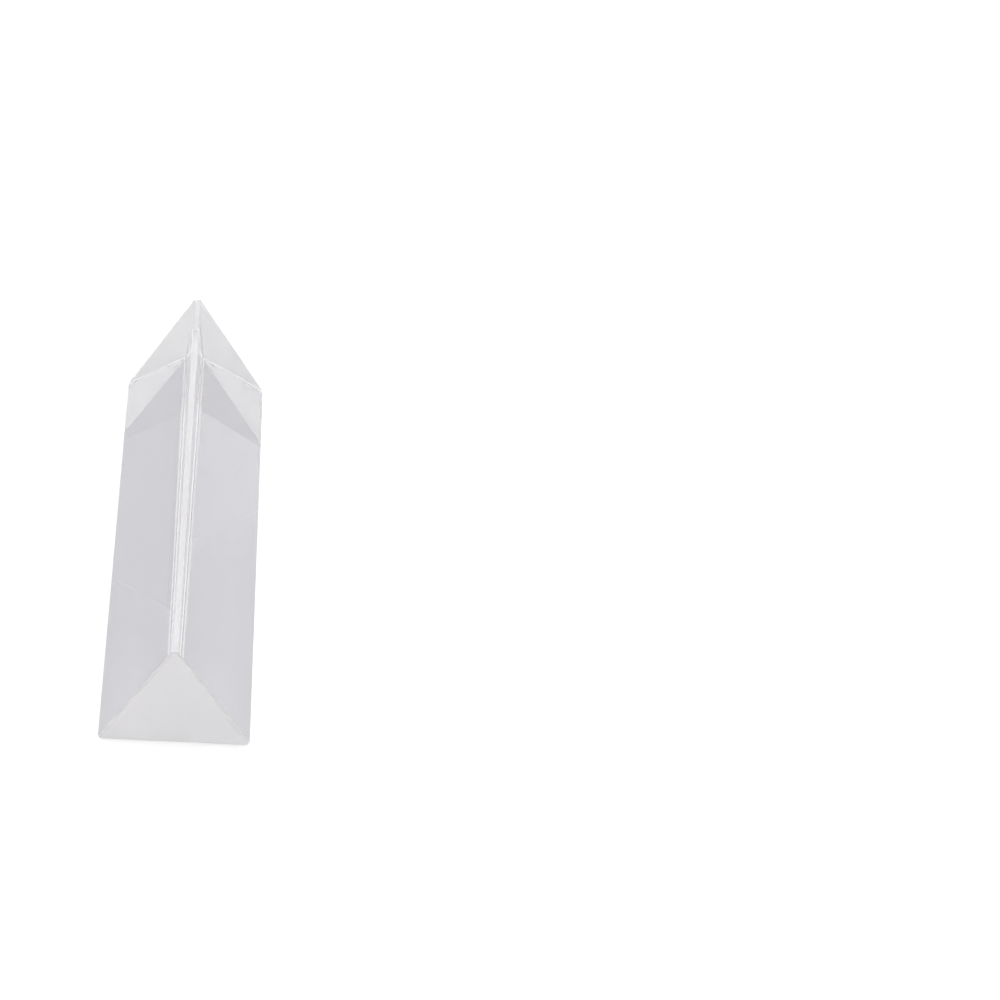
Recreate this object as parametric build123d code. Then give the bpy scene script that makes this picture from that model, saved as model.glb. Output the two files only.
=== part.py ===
from build123d import *
from math import atan, degrees, radians, sin
import os

# Triangular glass prism. It is one block of optical crown glass, sawn, ground and
# polished, lying on one of its three side faces with the opposite edge up as a ridge.
# Millimetres. +Z is up and +Y runs along the block.
# The origin is under the middle of the block, on the face that it rests on.

# Driving dimensions
LENGTH = 100.0         # between the two ground end faces
BASE_WIDTH = 30.0      # resting face, between its sharp edges before bevelling
SHARP_HEIGHT = 27.5    # resting face to the sharp ridge before bevelling
RIDGE_OFFSET = -0.65   # the ridge stands this far to the left of the middle of the base
RIDGE_FLAT = 1.3       # width of the flat ground along the ridge
FOOT_FLAT = 0.77       # width of the flat ground along each of the two bottom edges
END_FLAT = 0.5         # width of the narrow flat ground round each end face

# Angles of the section, worked out from the driving dimensions
HALF_BASE = BASE_WIDTH / 2.0
LEFT_ANGLE = degrees(atan(SHARP_HEIGHT / (HALF_BASE + RIDGE_OFFSET)))
RIGHT_ANGLE = degrees(atan(SHARP_HEIGHT / (HALF_BASE - RIDGE_OFFSET)))
RIDGE_ANGLE = 180.0 - LEFT_ANGLE - RIGHT_ANGLE
END_ANGLE = 90.0


def setback(flat_width, edge_angle):
    """How far from a sharp edge a flat of this width starts, on both of its faces."""
    return flat_width / (2.0 * sin(radians(edge_angle / 2.0)))


def sharp_section():
    """The triangle of the three side faces, standing on its base."""
    foot_left = (-HALF_BASE, 0.0)
    foot_right = (HALF_BASE, 0.0)
    ridge = (RIDGE_OFFSET, SHARP_HEIGHT)
    return Plane.XZ * Polygon(foot_left, foot_right, ridge, align=None)


def sawn_block():
    """The section drawn out both ways to the full length, with every edge still sharp."""
    return extrude(sharp_section(), amount=LENGTH / 2.0, both=True)


def bevel_long_edges(block):
    """Grind the two feet and the ridge. From left to right they are the three long edges."""
    left_foot = block.edges().filter_by(Axis.Y).sort_by(Axis.X)[0]
    block = chamfer(left_foot, length=setback(FOOT_FLAT, LEFT_ANGLE))
    right_foot = block.edges().filter_by(Axis.Y).sort_by(Axis.X)[-1]
    block = chamfer(right_foot, length=setback(FOOT_FLAT, RIGHT_ANGLE))
    ridge = block.edges().filter_by(Axis.Y).sort_by(Axis.Z)[-1]
    return chamfer(ridge, length=setback(RIDGE_FLAT, RIDGE_ANGLE))


def bevel_end_edges(block):
    """Grind a narrow flat round both end faces, across the ends of the long flats too."""
    end_faces = block.faces().filter_by(Axis.Y)
    return chamfer(end_faces.edges(), length=setback(END_FLAT, END_ANGLE))


def make_prism():
    block = sawn_block()
    block = bevel_long_edges(block)
    return bevel_end_edges(block)


prism = make_prism()
prism.label = "prism"

os.makedirs("parts", exist_ok=True)
export_step(prism, "parts/prism.step")

box = prism.bounding_box()
print(f"angles: left {LEFT_ANGLE:.1f}, right {RIGHT_ANGLE:.1f}, ridge {RIDGE_ANGLE:.1f} degrees")
print(f"prism {box.size.X:.2f} x {box.size.Y:.2f} x {box.size.Z:.2f} mm, from z {box.min.Z:.3f}")
print(f"volume {prism.volume / 1000.0:.2f} cm3, {len(prism.faces())} faces")
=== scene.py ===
# %% [markdown]
# # A triangular glass prism
# The object is one block of clear optical glass. It is sawn to a triangle, its three long
# sides are polished, and its two ends and all its edges are only ground. Glass shows little
# colour of its own, so the look comes from three things: exact flat faces, the finishes that
# meet along the edges, and a studio that gives the faces something to bend and mirror.
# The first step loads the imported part. It is a fixed frame that says where the glass is.

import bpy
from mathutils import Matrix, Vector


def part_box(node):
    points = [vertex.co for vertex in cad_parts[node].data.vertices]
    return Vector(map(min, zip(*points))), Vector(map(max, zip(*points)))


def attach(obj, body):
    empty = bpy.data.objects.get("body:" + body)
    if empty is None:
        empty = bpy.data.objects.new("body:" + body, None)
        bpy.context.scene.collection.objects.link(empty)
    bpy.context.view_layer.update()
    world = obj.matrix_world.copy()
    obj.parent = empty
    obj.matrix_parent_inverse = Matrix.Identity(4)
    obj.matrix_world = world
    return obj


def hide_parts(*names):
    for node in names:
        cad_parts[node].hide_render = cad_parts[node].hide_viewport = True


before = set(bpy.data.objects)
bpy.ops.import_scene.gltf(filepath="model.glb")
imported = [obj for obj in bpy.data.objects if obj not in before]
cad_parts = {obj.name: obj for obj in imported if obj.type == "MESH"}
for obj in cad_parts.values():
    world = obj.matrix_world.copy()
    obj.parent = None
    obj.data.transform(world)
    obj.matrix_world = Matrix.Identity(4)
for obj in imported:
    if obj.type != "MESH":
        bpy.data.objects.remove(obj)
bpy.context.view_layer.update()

# %% [markdown]
# ## Sizes
# A prism is described by a few numbers: its length, the width and the height of its sharp
# triangle, and the width of each narrow flat that is ground along its edges. The length is
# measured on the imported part. The sharp triangle can't be measured there, because its edges
# are ground away, so its sizes are written here in millimetres, with the flats. The ridge
# stands a little to the left of the middle, as it does on a prism cut and polished by hand.

# %% Name the sizes
MM = 0.001
BASE_WIDTH = 30.0 * MM
SHARP_HEIGHT = 27.5 * MM
RIDGE_OFFSET = -0.65 * MM
RIDGE_FLAT = 1.3 * MM
FOOT_FLAT = 0.77 * MM
END_FLAT = 0.5 * MM

block_low, block_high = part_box("prism")
length = block_high.y - block_low.y
print(f"block: {length / MM:.1f} mm long, {block_high.z / MM:.2f} mm high")

# %% [markdown]
# ## Saw the block
# The section could be typed in as three points, but a circle of three segments is already a
# triangle with a corner at the top. It is stretched to the real width and height, stood up,
# and extruded along the length, as a saw leaves the blank with every edge still sharp.

# %% Make the sharp triangular block
import bmesh
import bpy
from math import cos, pi, radians, sin
from mathutils import Matrix, noise

TRIANGLE = 3


def sharp_block():
    bm = bmesh.new()
    bmesh.ops.create_circle(bm, cap_ends=True, radius=1.0, segments=TRIANGLE)
    low_y = min(v.co.y for v in bm.verts)
    high_y = max(v.co.y for v in bm.verts)
    half_width = max(v.co.x for v in bm.verts)
    wider, taller = BASE_WIDTH / (2 * half_width), SHARP_HEIGHT / (high_y - low_y)
    to_size = Matrix.Diagonal((wider, taller, 1, 1))
    stand_up = Matrix.Rotation(radians(90), 4, "X")
    to_front = Matrix.Translation((0, -length / 2, 0))
    to_base = Matrix.Translation((0, -low_y, 0))
    bmesh.ops.transform(bm, matrix=to_front @ stand_up @ to_size @ to_base, verts=bm.verts)
    ridge_corner = max(bm.verts, key=lambda v: v.co.z)
    bmesh.ops.translate(bm, vec=(RIDGE_OFFSET, 0, 0), verts=[ridge_corner])
    pulled = bmesh.ops.extrude_face_region(bm, geom=bm.faces[:])
    new_corners = [v for v in pulled["geom"] if isinstance(v, bmesh.types.BMVert)]
    bmesh.ops.translate(bm, vec=(0, length, 0), verts=new_corners)
    bmesh.ops.recalc_face_normals(bm, faces=bm.faces)
    return bm


glass = sharp_block()
print("sharp block:", len(glass.verts), "corners,", len(glass.faces), "faces")

# %% [markdown]
# ## Grind the flats
# Bare glass edges chip and cut, so a maker rubs a narrow flat on each of them. A bevel with
# one segment is such a flat. The bevel asks how far its two lines stand from the edge, so
# that distance is worked out from the width of the flat and the angle of the corner. The two
# feet and the ridge come first, and then the edges round both ends, which run across the
# ends of the long flats too.

# %% Bevel the long edges, then the end edges
def grind(bm, edges, width):
    corner = pi - edges[0].calc_face_angle()
    bmesh.ops.bevel(
        bm, geom=edges, offset=width / (2 * sin(corner / 2)), offset_type="OFFSET",
        segments=1, profile=0.5, affect="EDGES", material=-1,
    )


def long_edge(bm, corner_height):
    long_edges = [e for e in bm.edges if abs(e.verts[0].co.y - e.verts[1].co.y) > length / 2]
    return [max(long_edges, key=lambda e: corner_height(e.verts[0].co))]


def lies_at_an_end(edge):
    return edge.verts[0].co.y * edge.verts[1].co.y > 0


grind(glass, long_edge(glass, lambda place: -place.x), FOOT_FLAT)
grind(glass, long_edge(glass, lambda place: place.x), FOOT_FLAT)
grind(glass, long_edge(glass, lambda place: place.z), RIDGE_FLAT)
grind(glass, [e for e in glass.edges if lies_at_an_end(e)], END_FLAT)
top = max(v.co.z for v in glass.verts)
print(f"bevelled block: {len(glass.faces)} faces, {top / MM:.2f} mm high")

# %% [markdown]
# ## Sort the finishes
# Several finishes meet on this block: three polished sides, two ground ends, the ridge flat,
# the flats that meet the base, and the other flats round the ends. Each finish is a material
# slot, and each face is told its slot by which way it points and how large it is. The ends
# point straight along the block, the polished sides are the only other large faces, and of
# the small faces that are left only the flats at the base point downward.

# %% Give each face its finish
POLISHED, GROUND_END, RIDGE, FOOT, RUBBED, PAINTED_SHADE_SLOT = range(6)
STRAIGHT_ON = 0.99
DOWNWARD = -0.3
ACROSS = 0.01
LARGE = length * BASE_WIDTH / 2


def finish_of(face):
    if abs(face.normal.y) > STRAIGHT_ON:
        return GROUND_END
    if face.calc_area() > LARGE:
        return POLISHED
    if face.normal.z < DOWNWARD:
        return FOOT
    return RUBBED if abs(face.normal.y) > ACROSS else RIDGE


for face in glass.faces:
    face.material_index = finish_of(face)
counts = [sum(f.material_index == k for f in glass.faces) for k in range(PAINTED_SHADE_SLOT)]
print("polished, ground ends, ridge, base flats, end flats:", counts)

# %% [markdown]
# ## Paint shade beside the ridge flat
# A thin line along the left of the ridge flat is made darker than either face that it
# meets. This is painted shade: the line is a strip of dark grey glass, and it is laid on the
# left of the flat only. The flat is inset, and the long strip that this makes on its left
# gets a finish of its own.

# %% Inset a narrow strip beside the ridge flat
ARRIS_WIDTH = 0.12 * MM

ridge_flat = next(f for f in glass.faces if f.material_index == RIDGE)
strips = bmesh.ops.inset_region(
    glass, faces=[ridge_flat], thickness=ARRIS_WIDTH, use_boundary=True, use_even_offset=True,
)["faces"]
painted_shade = min(strips, key=lambda strip: strip.calc_center_median().x)
# the left strip takes the slot of the painted shade
painted_shade.material_index = PAINTED_SHADE_SLOT
print(f"{len(strips)} strips, the broken one is {painted_shade.calc_area() / MM**2:.1f} mm2")

# %% [markdown]
# ## Let the edges wander
# A hand holds the glass while its flats are ground, so no flat is ruled. Its line wanders by
# a hundredth of a millimetre or so, and here and there a nick has jumped out of it. The
# polished sides must stay exactly flat, or they would bend the view like a bad window. So
# the edges are cut into short steps, and each new corner only slides within its own polished
# side, away from the flat.

# %% Cut the edges into steps and slide them
import random

STEP = 0.5 * MM
WANDER = 0.015 * MM
WAVE = 7.0 * MM
NICKS = 14
NICK_DEPTH = (0.06 * MM, 0.18 * MM)
SEED = 11
chance = random.Random(SEED)


def polished_side(corner):
    return next((f for f in corner.link_faces if f.material_index == POLISHED), None)


def meets_ground(edge):
    kinds = [f.material_index == POLISHED for f in edge.link_faces]
    return any(kinds) and not all(kinds)


def into_the_side(corner):
    side = polished_side(corner)
    one_end, other_end = (edge.other_vert(corner).co for edge in corner.link_edges)
    across = side.normal.cross((one_end - other_end).normalized())
    to_middle = side.calc_center_median() - corner.co
    return across if across.dot(to_middle) > 0 else -across


for edge in [e for e in glass.edges if meets_ground(e)]:
    bmesh.ops.bisect_edges(glass, edges=[edge], cuts=int(edge.calc_length() / STEP))
steps = [v for v in glass.verts if len(v.link_edges) == 2]
slides = [(v, into_the_side(v), WANDER * (1 + noise.noise(v.co / WAVE)) / 2) for v in steps]
nicked = set(chance.sample(range(len(slides)), NICKS))
for k, (corner, way, wander) in enumerate(slides):
    nick = chance.uniform(*NICK_DEPTH) if k in nicked else 0.0
    corner.co += way * (wander + nick)
print("steps along the edges:", len(steps), "with", len(nicked), "nicks")

# %% [markdown]
# ## Hand over the block
# The shape is done, so it becomes a mesh object, the one piece that is seen. It rides on the
# root body and stands in for the imported solid, which is then hidden. Its finishes fill its
# slots further on, and the name of the first says that it is crown glass.

# %% Turn the block into a piece
mesh = bpy.data.meshes.new("glass_block")
glass.to_mesh(mesh)
glass.free()
glass_block = bpy.data.objects.new("glass_block", mesh)
bpy.context.scene.collection.objects.link(glass_block)
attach(glass_block, "root")
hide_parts("prism")
print("piece:", glass_block.name, "with", len(mesh.polygons), "faces")

# %% [markdown]
# ## Material helpers
# Every finish on the block is one and the same glass shader. Crown glass bends light by an
# index of 1.517, and only the roughness, the share of the light that passes through and the
# grain differ. The shader and the few nodes that all finishes share get a helper each. The
# patterns read the place on the block itself, so they need no flattened map of its faces.

# %% Helpers for materials
CROWN_INDEX = 1.517
WHITE = (1, 1, 1, 1)


def new_material(name):
    material = bpy.data.materials.new(name)
    material.use_nodes = True
    return material, material.node_tree.nodes, material.node_tree.links


def glass_shader(nodes, colour, through, roughness):
    shader = nodes["Principled BSDF"]
    shader.inputs["Base Color"].default_value = colour
    shader.inputs["Transmission Weight"].default_value = through
    shader.inputs["IOR"].default_value = CROWN_INDEX
    shader.inputs["Roughness"].default_value = roughness
    return shader


def on_the_block(nodes, links, stretch=(1, 1, 1)):
    place = nodes.new("ShaderNodeTexCoord")
    mapping = nodes.new("ShaderNodeMapping")
    mapping.inputs["Scale"].default_value = stretch
    links.new(place.outputs["Object"], mapping.inputs["Vector"])
    return mapping.outputs["Vector"]


def clouds(nodes, links, place, size, detail=2.0):
    pattern = nodes.new("ShaderNodeTexNoise")
    pattern.inputs["Scale"].default_value = 1 / size
    pattern.inputs["Detail"].default_value = detail
    links.new(place, pattern.inputs["Vector"])
    return pattern.outputs["Fac"]


def spread(nodes, links, value, between, to):
    scale = nodes.new("ShaderNodeMapRange")
    for name, number in zip(("From Min", "From Max", "To Min", "To Max"), (*between, *to)):
        scale.inputs[name].default_value = number
    links.new(value, scale.inputs["Value"])
    return scale.outputs["Result"]


def combine(nodes, links, operation, *values):
    step = nodes.new("ShaderNodeMath")
    step.operation = operation
    for value, socket in zip(values, step.inputs):
        links.new(value, socket)
    return step.outputs[0]


def coordinate(nodes, links, direction):
    parts = nodes.new("ShaderNodeSeparateXYZ")
    links.new(on_the_block(nodes, links), parts.inputs[0])
    return parts.outputs[direction]


# %% [markdown]
# ## Polished glass
# The three long sides are as smooth as a lens. They have a trace of grey-violet, a few specks
# of dust, and a faint film near the ends, where fingers hold the block. The film makes the
# glass slightly rough in patches, and the specks sit in the middle of random cells. Both are
# kept weak, since a real prism is wiped before it is used.

# %% Make the polished glass
GLASS_TINT = (0.87, 0.865, 0.887, 1)
FINE = 3.0
FILM_BEGINS, FILM_FULL = 0.25 * length, 0.5 * length
FILM_PATCH = 9.0 * MM
FILM_EDGE = (0.45, 0.75)
FILM_ROUGHNESS = 0.08
CLEAR_UNDER_FILM = 0.96
DUST_SPACING = 2.6 * MM
DUST_SPECK = 0.045
CLEAR_UNDER_DUST = 0.45


def finger_film(nodes, links, place):
    from_middle = combine(nodes, links, "ABSOLUTE", coordinate(nodes, links, "Y"))
    near_an_end = spread(nodes, links, from_middle, (FILM_BEGINS, FILM_FULL), (0.0, 1.0))
    mottled = clouds(nodes, links, place, FILM_PATCH, FINE)
    patches = spread(nodes, links, mottled, FILM_EDGE, (0.0, 1.0))
    return combine(nodes, links, "MULTIPLY", near_an_end, patches)


def dust_specks(nodes, links, place):
    cells = nodes.new("ShaderNodeTexVoronoi")
    cells.inputs["Scale"].default_value = 1 / DUST_SPACING
    links.new(place, cells.inputs["Vector"])
    return spread(nodes, links, cells.outputs["Distance"], (DUST_SPECK / 2, DUST_SPECK), (1.0, 0.0))


def polished_glass():
    material, nodes, links = new_material("polished_crown_glass")
    shader = glass_shader(nodes, GLASS_TINT, 1.0, 0.0)
    place = on_the_block(nodes, links)
    film = finger_film(nodes, links, place)
    dust = dust_specks(nodes, links, place)
    rough = spread(nodes, links, film, (0.0, 1.0), (0.0, FILM_ROUGHNESS))
    links.new(rough, shader.inputs["Roughness"])
    under_film = spread(nodes, links, film, (0.0, 1.0), (1.0, CLEAR_UNDER_FILM))
    under_dust = spread(nodes, links, dust, (0.0, 1.0), (1.0, CLEAR_UNDER_DUST))
    clear = combine(nodes, links, "MULTIPLY", under_film, under_dust)
    links.new(clear, shader.inputs["Transmission Weight"])
    return material


polished = polished_glass()
glass_block.data.materials.append(polished)
print("finish:", polished.name)

# %% [markdown]
# ## Ground glass
# Loose grit leaves a ground face as a field of tiny pits, so it scatters light and looks
# white. The pits could be cut into the mesh, but they are finer than any face it could have.
# So a fine noise stands for them in the bump, and a broad one makes the grinding a little
# uneven in roughness and tone.

# %% Make the ground glass
GRAIN = 0.07 * MM
UNEVEN = 5.0 * MM
PIT_DEPTH = 0.01 * MM
MARKS_SEEN = (0.6, 1.4)
TONES_SEEN = (0.7, 1.2)
ROUGHER = 0.06


def ground_glass(
    name, colour, through, roughness, pits=0.35, marks=(1, 1, 1), mark_size=GRAIN, shade=0.03,
):
    material, nodes, links = new_material(name)
    shader = glass_shader(nodes, colour, through, roughness)
    grain = clouds(nodes, links, on_the_block(nodes, links, marks), mark_size, FINE)
    uneven = clouds(nodes, links, on_the_block(nodes, links), UNEVEN)
    both = combine(nodes, links, "ADD", grain, uneven)
    rough = spread(nodes, links, both, MARKS_SEEN, (roughness - ROUGHER, roughness + ROUGHER))
    links.new(rough, shader.inputs["Roughness"])
    tone = nodes.new("ShaderNodeMix")
    tone.data_type = "RGBA"
    tone.inputs["A"].default_value = [channel * (1 - shade) for channel in colour[:3]] + [1]
    tone.inputs["B"].default_value = colour
    links.new(spread(nodes, links, both, TONES_SEEN, (0.0, 1.0)), tone.inputs["Factor"])
    links.new(tone.outputs["Result"], shader.inputs["Base Color"])
    bump = nodes.new("ShaderNodeBump")
    bump.inputs["Strength"].default_value = pits
    bump.inputs["Distance"].default_value = PIT_DEPTH
    links.new(grain, bump.inputs["Height"])
    links.new(bump.outputs["Normal"], shader.inputs["Normal"])
    return material


def clearer_by_place(material, direction, between, through):
    nodes, links = material.node_tree.nodes, material.node_tree.links
    clear = spread(nodes, links, coordinate(nodes, links, direction), between, through)
    links.new(clear, nodes["Principled BSDF"].inputs["Transmission Weight"])
    return material


# %% [markdown]
# ## A finish for each flat
# The flats are rubbed on a stone along the block, so their marks are drawn out lengthwise.
# Polishing the base rubs the lower part of its flats clear again, the ridge flat is a little
# clearer over its last stretch, and the flats round the far end are coarser than those round
# the near one. So on these the share of the light that passes through goes by the place on
# the block. The finishes are added in the order of the slots that the faces were given.

# %% Finish the ends and the flats
ALONG = (1, 0.02, 1)
FAINT_PITS = 0.05
RIDGE_MARK = 0.35 * MM
RIDGE_TURNS, RIDGE_THROUGH = (36 * MM, 41 * MM), (0.6, 0.76)
FOOT_TURNS, FOOT_THROUGH = (0.38 * MM, 0.40 * MM), (1.0, 0.0)
END_TURNS, END_THROUGH = (0.0, 45 * MM), (0.75, 0.5)

ridge = ground_glass(
    "ridge_flat", (1.0, 0.995, 1.0, 1), RIDGE_THROUGH[0], 0.07,
    pits=FAINT_PITS, marks=ALONG, mark_size=RIDGE_MARK, shade=0.06,
)
foot = ground_glass(
    "foot_flat", (0.97, 0.96, 0.97, 1), FOOT_THROUGH[0], 0.15,
    pits=FAINT_PITS, marks=ALONG, shade=0.02,
)
end = ground_glass("rubbed_flat", (0.93, 0.92, 0.93, 1), END_THROUGH[0], 0.8, marks=ALONG)
for made in (
    ground_glass("ground_end", (1.0, 0.988, 0.998, 1), 0.7, 0.8, shade=0.015),
    clearer_by_place(ridge, "Y", RIDGE_TURNS, RIDGE_THROUGH),
    clearer_by_place(foot, "Z", FOOT_TURNS, FOOT_THROUGH),
    clearer_by_place(end, "Y", END_TURNS, END_THROUGH),
    # painted shade: the strip on the left of the ridge flat is a dark grey glass, so it draws a
    # darker line than either face
    ground_glass("arris_painted_shade", (0.7, 0.69, 0.71, 1), 0.6, 0.5),
):
    glass_block.data.materials.append(made)
    print("finish:", made.name)

# %% [markdown]
# ## Floor
# The block lies on a sheet of plain white acrylic, a hair under it. Its colour comes partly
# from the light that falls on it and partly from a weak glow that only the camera, a mirror
# or the glass can see. So the floor looks white behind the block and through it, keeps the
# soft shadow, and throws no extra light on the object. A clear coat gives it the shine that
# the glass picks up at a low angle.

# %% Lay the floor
FLOOR_GAP = 0.03 * MM
FLOOR_SIZE = 4.0
ACRYLIC = 0.9
GLOW = 0.12
SHINE_ROUGHNESS = 0.1


def camera_glass_or_mirror(nodes, links):
    path = nodes.new("ShaderNodeLightPath")
    seen = path.outputs["Is Camera Ray"]
    for kind in ("Is Glossy Ray", "Is Transmission Ray"):
        seen = combine(nodes, links, "MAXIMUM", seen, path.outputs[kind])
    return seen


def white_floor():
    material, nodes, links = new_material("white_acrylic")
    shader = nodes["Principled BSDF"]
    shader.inputs["Base Color"].default_value = (ACRYLIC, ACRYLIC, ACRYLIC, 1)
    shader.inputs["Roughness"].default_value = 1.0
    shader.inputs["Specular IOR Level"].default_value = 0.0
    shader.inputs["Coat Weight"].default_value = 1.0
    shader.inputs["Coat Roughness"].default_value = SHINE_ROUGHNESS
    shader.inputs["Emission Color"].default_value = WHITE
    seen = camera_glass_or_mirror(nodes, links)
    glow = spread(nodes, links, seen, (0.0, 1.0), (0.0, GLOW))
    links.new(glow, shader.inputs["Emission Strength"])
    return material


sheet = bmesh.new()
bmesh.ops.create_grid(sheet, x_segments=1, y_segments=1, size=FLOOR_SIZE / 2)
bmesh.ops.translate(sheet, vec=(0, 0, -FLOOR_GAP), verts=sheet.verts)
floor_mesh = bpy.data.meshes.new("floor")
sheet.to_mesh(floor_mesh)
sheet.free()
floor = bpy.data.objects.new("floor", floor_mesh)
floor.data.materials.append(white_floor())
bpy.context.scene.collection.objects.link(floor)
print("floor:", FLOOR_SIZE, "m square")

# %% [markdown]
# ## Room
# Clear glass is drawn by its surroundings. The room here is white all round, with one dimmer
# place high up behind the block, as where a studio's lit sheet ends and the ceiling begins.
# The long sides mirror that place inside the glass, and this is why they look grey next to
# the white floor. A darker glass would be simpler, but it would grey every view through the
# block alike.

# %% Set the room
ROOM_WHITE = (1.0, 1.0, 1.0, 1)
ROOM_DIM = (0.53, 0.525, 0.555, 1)
DIM_HEIGHT = radians(54)
DIM_EDGE = radians(32)
DIM_MIDDLE = radians(16)


def soft_room():
    world = bpy.data.worlds.new("soft_room")
    world.use_nodes = True
    nodes, links = world.node_tree.nodes, world.node_tree.links
    place = nodes.new("ShaderNodeTexCoord")
    facing = nodes.new("ShaderNodeVectorMath")
    facing.operation = "DOT_PRODUCT"
    facing.inputs[1].default_value = (0, cos(DIM_HEIGHT), sin(DIM_HEIGHT))
    links.new(place.outputs["Generated"], facing.inputs[0])
    ramp = nodes.new("ShaderNodeValToRGB")
    ramp.color_ramp.interpolation = "EASE"
    start, end = ramp.color_ramp.elements
    start.position, start.color = cos(DIM_EDGE), ROOM_WHITE
    end.position, end.color = cos(DIM_MIDDLE), ROOM_DIM
    links.new(facing.outputs["Value"], ramp.inputs[0])
    links.new(ramp.outputs[0], nodes["Background"].inputs["Color"])
    return world


bpy.context.scene.world = soft_room()
print("room: white, with a dim place behind the block")

# %% [markdown]
# ## Softbox
# A white room alone would leave the block floating. One large softbox straight above it gives
# the floor a soft shadow close to the glass, and it is wide enough to leave no hard edge.

# %% Hang the softbox
SOFTBOX_SIDE = 0.9
SOFTBOX_HEIGHT = 0.9
SOFTBOX_WATTS = 3.0
softbox_data = bpy.data.lights.new("softbox", "AREA")
softbox_data.size = SOFTBOX_SIDE
softbox_data.energy = SOFTBOX_WATTS
softbox = bpy.data.objects.new("softbox", softbox_data)
softbox.location = (0.0, 0.0, SOFTBOX_HEIGHT)
bpy.context.scene.collection.objects.link(softbox)
print("softbox:", SOFTBOX_WATTS, "W over", SOFTBOX_SIDE, "m")

# %% [markdown]
# ## Camera
# The camera stands in front of the block and looks down on it at about forty-five degrees,
# with a long lens, so that the far end hardly shrinks. It is turned a little, which lets the
# block lean in the frame. Standard colour shows white as white. Light crosses the glass many
# times before it leaves, so the path may have many bounces.

# %% Place the camera
SENSOR_MM = 36.0
LENS_MM = 95.74
CAMERA_PLACE = (3.10 * MM, -377.97 * MM, 406.20 * MM)
CAMERA_TURN = (radians(44.422), radians(-6.809), radians(-2.121))
NEAREST = 0.01
GLASS_BOUNCES = 32
MIRROR_BOUNCES = 16

camera_data = bpy.data.cameras.new("camera")
camera_data.lens = LENS_MM
camera_data.sensor_width = SENSOR_MM
camera_data.clip_start = NEAREST
camera = bpy.data.objects.new("camera", camera_data)
camera.location = CAMERA_PLACE
camera.rotation_euler = CAMERA_TURN
scene = bpy.context.scene
scene.collection.objects.link(camera)
scene.camera = camera
scene.view_settings.view_transform = "Standard"
scene.cycles.max_bounces = GLASS_BOUNCES
scene.cycles.transmission_bounces = GLASS_BOUNCES
scene.cycles.glossy_bounces = MIRROR_BOUNCES
print("camera:", [round(side / MM) for side in CAMERA_PLACE], "mm, lens", LENS_MM, "mm")
